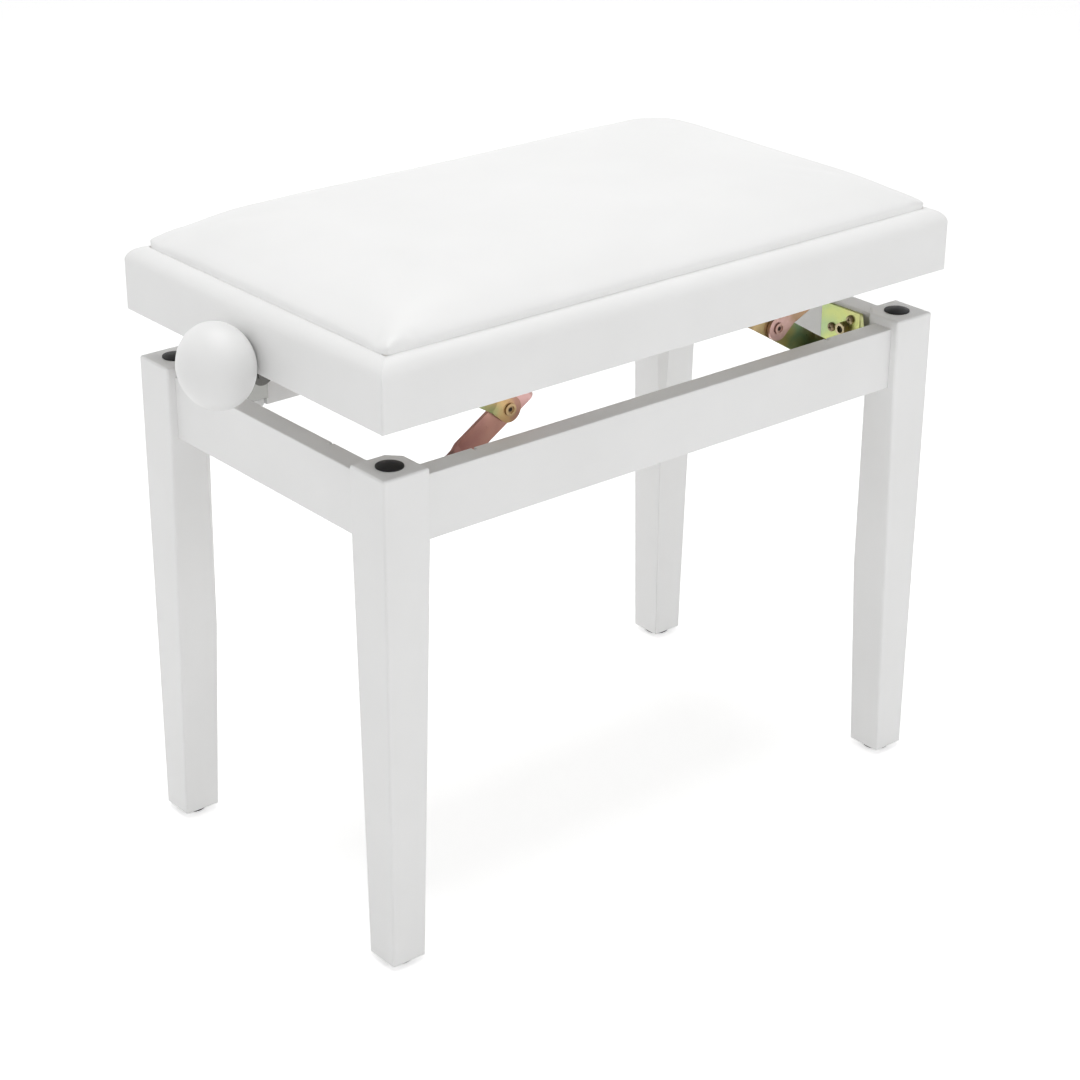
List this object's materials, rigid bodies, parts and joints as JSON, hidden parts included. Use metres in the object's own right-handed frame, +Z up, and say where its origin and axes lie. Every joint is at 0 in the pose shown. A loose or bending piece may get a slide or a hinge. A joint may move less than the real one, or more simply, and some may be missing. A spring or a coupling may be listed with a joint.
{
  "type": "adjustable piano bench",
  "caption": "Piano bench with a padded top in a rounded frame, raised and lowered by side knobs that turn a screw spindle and a scissor linkage above tapered legs.",
  "frame": {"origin": "on the floor, under the middle of the bench", "axes": "+X along the spindle to the right-hand knob, +Y to the back, +Z up"},
  "size_m": [0.6608, 0.325, 0.5167],
  "materials": {
    "white_paint": "satin white paint",
    "bare_wood": "bare",
    "white_leatherette": "fine grained",
    "rubber": "matt",
    "glide_plastic": "matt",
    "zinc_sheet": "yellow passivated zinc",
    "zinc_fasteners": "yellow passivated zinc",
    "steel": "satin"
  },
  "bodies": {
    "base": {"leg_front_left": "white_paint", "leg_front_right": "white_paint", "leg_back_left": "white_paint", "leg_back_right": "white_paint", "leg_bumpers": "rubber", "foot_glides": "glide_plastic", "apron_left": "white_paint", "apron_right": "white_paint", "apron_front": "white_paint", "apron_back": "white_paint", "corner_bracket_front_left": "zinc_sheet", "corner_bracket_front_right": "zinc_sheet", "corner_bracket_back_left": "zinc_sheet", "corner_bracket_back_right": "zinc_sheet", "bracket_screws": "zinc_fasteners", "bracket_studs": "zinc_fasteners", "bracket_stud_nuts": "zinc_fasteners", "hanger_bolts": "zinc_fasteners", "hanger_bolt_washers": "zinc_fasteners", "hanger_bolt_nuts": "zinc_fasteners", "arm_pivot_studs": "zinc_fasteners"},
    "seat": {"seat_rail_front": "white_paint", "seat_rail_back": "white_paint", "seat_rail_left": "white_paint", "seat_rail_right": "white_paint", "seat_board": "bare_wood", "cushion": "white_leatherette", "seat_corner_blocks": "bare_wood", "seat_block_screws": "zinc_fasteners", "link_bracket_front_left": "zinc_sheet", "link_bracket_front_right": "zinc_sheet", "link_bracket_back_left": "zinc_sheet", "link_bracket_back_right": "zinc_sheet", "link_bracket_screws": "zinc_fasteners", "link_pivot_rivets": "zinc_fasteners", "spindle_bearing_left": "zinc_sheet", "spindle_bearing_right": "zinc_sheet", "spindle_bearing_screws": "zinc_fasteners"},
    "spindle": {"spindle": "steel", "spindle_collars": "steel", "collar_grub_screws": "steel", "knob_left": "white_paint", "knob_right": "white_paint"},
    "left_arms": {"left_arm_front": "zinc_sheet", "left_arm_back": "zinc_sheet", "left_cross_shaft": "zinc_fasteners", "left_spacer_tube": "steel"},
    "left_links": {"left_link_front": "zinc_sheet", "left_link_back": "zinc_sheet"},
    "left_nut_bar": {"left_nut_bar": "steel", "left_nut_bar_clips": "zinc_fasteners"},
    "right_arms": {"right_arm_front": "zinc_sheet", "right_arm_back": "zinc_sheet", "right_cross_shaft": "zinc_fasteners", "right_spacer_tube": "steel"},
    "right_links": {"right_link_front": "zinc_sheet", "right_link_back": "zinc_sheet"},
    "right_nut_bar": {"right_nut_bar": "steel", "right_nut_bar_clips": "zinc_fasteners"}
  },
  "joints": [
    {"name": "lift", "type": "hinge", "parent": "base", "child": "left_arms", "pos_m": [-0.187, 0, 0.3724], "axis": [0, -1, 0], "range_deg": [-14.7, 28]},
    {"name": "left_link_pivot", "type": "hinge", "parent": "left_arms", "child": "left_links", "pos_m": [-0.13473, 0, 0.40443], "axis": [0, -1, 0], "range_deg": [-56.5, 29.9]},
    {"name": "seat_on_left_links", "type": "hinge", "parent": "left_links", "child": "seat", "pos_m": [-0.187, 0, 0.43646], "axis": [0, -1, 0], "range_deg": [-15.2, 28.5]},
    {"name": "right_arm_pivot", "type": "hinge", "parent": "base", "child": "right_arms", "pos_m": [0.187, 0, 0.3724], "axis": [0, -1, 0], "range_deg": [-28.5, 15.2]},
    {"name": "right_link_pivot", "type": "hinge", "parent": "right_arms", "child": "right_links", "pos_m": [0.13473, 0, 0.40443], "axis": [0, -1, 0], "range_deg": [-29.9, 56.5]},
    {"name": "left_nut_bar_pivot", "type": "hinge", "parent": "left_arms", "child": "left_nut_bar", "pos_m": [-0.08247, 0, 0.43646], "axis": [0, -1, 0], "range_deg": [-28.5, 15.2]},
    {"name": "right_nut_bar_pivot", "type": "hinge", "parent": "right_arms", "child": "right_nut_bar", "pos_m": [0.08247, 0, 0.43646], "axis": [0, -1, 0], "range_deg": [-15.2, 28.5]},
    {"name": "spindle_turn", "type": "hinge", "parent": "seat", "child": "spindle", "pos_m": [0, 0, 0.44146], "axis": [1, 0, 0], "continuous": true}
  ],
  "couplings": [
    {"joint": "left_link_pivot", "follows": "lift", "ratio": -2},
    {"joint": "seat_on_left_links", "follows": "lift", "ratio": 1},
    {"joint": "right_arm_pivot", "follows": "lift", "ratio": -1},
    {"joint": "right_link_pivot", "follows": "lift", "ratio": 2},
    {"joint": "left_nut_bar_pivot", "follows": "lift", "ratio": -1},
    {"joint": "right_nut_bar_pivot", "follows": "lift", "ratio": 1}
  ]
}
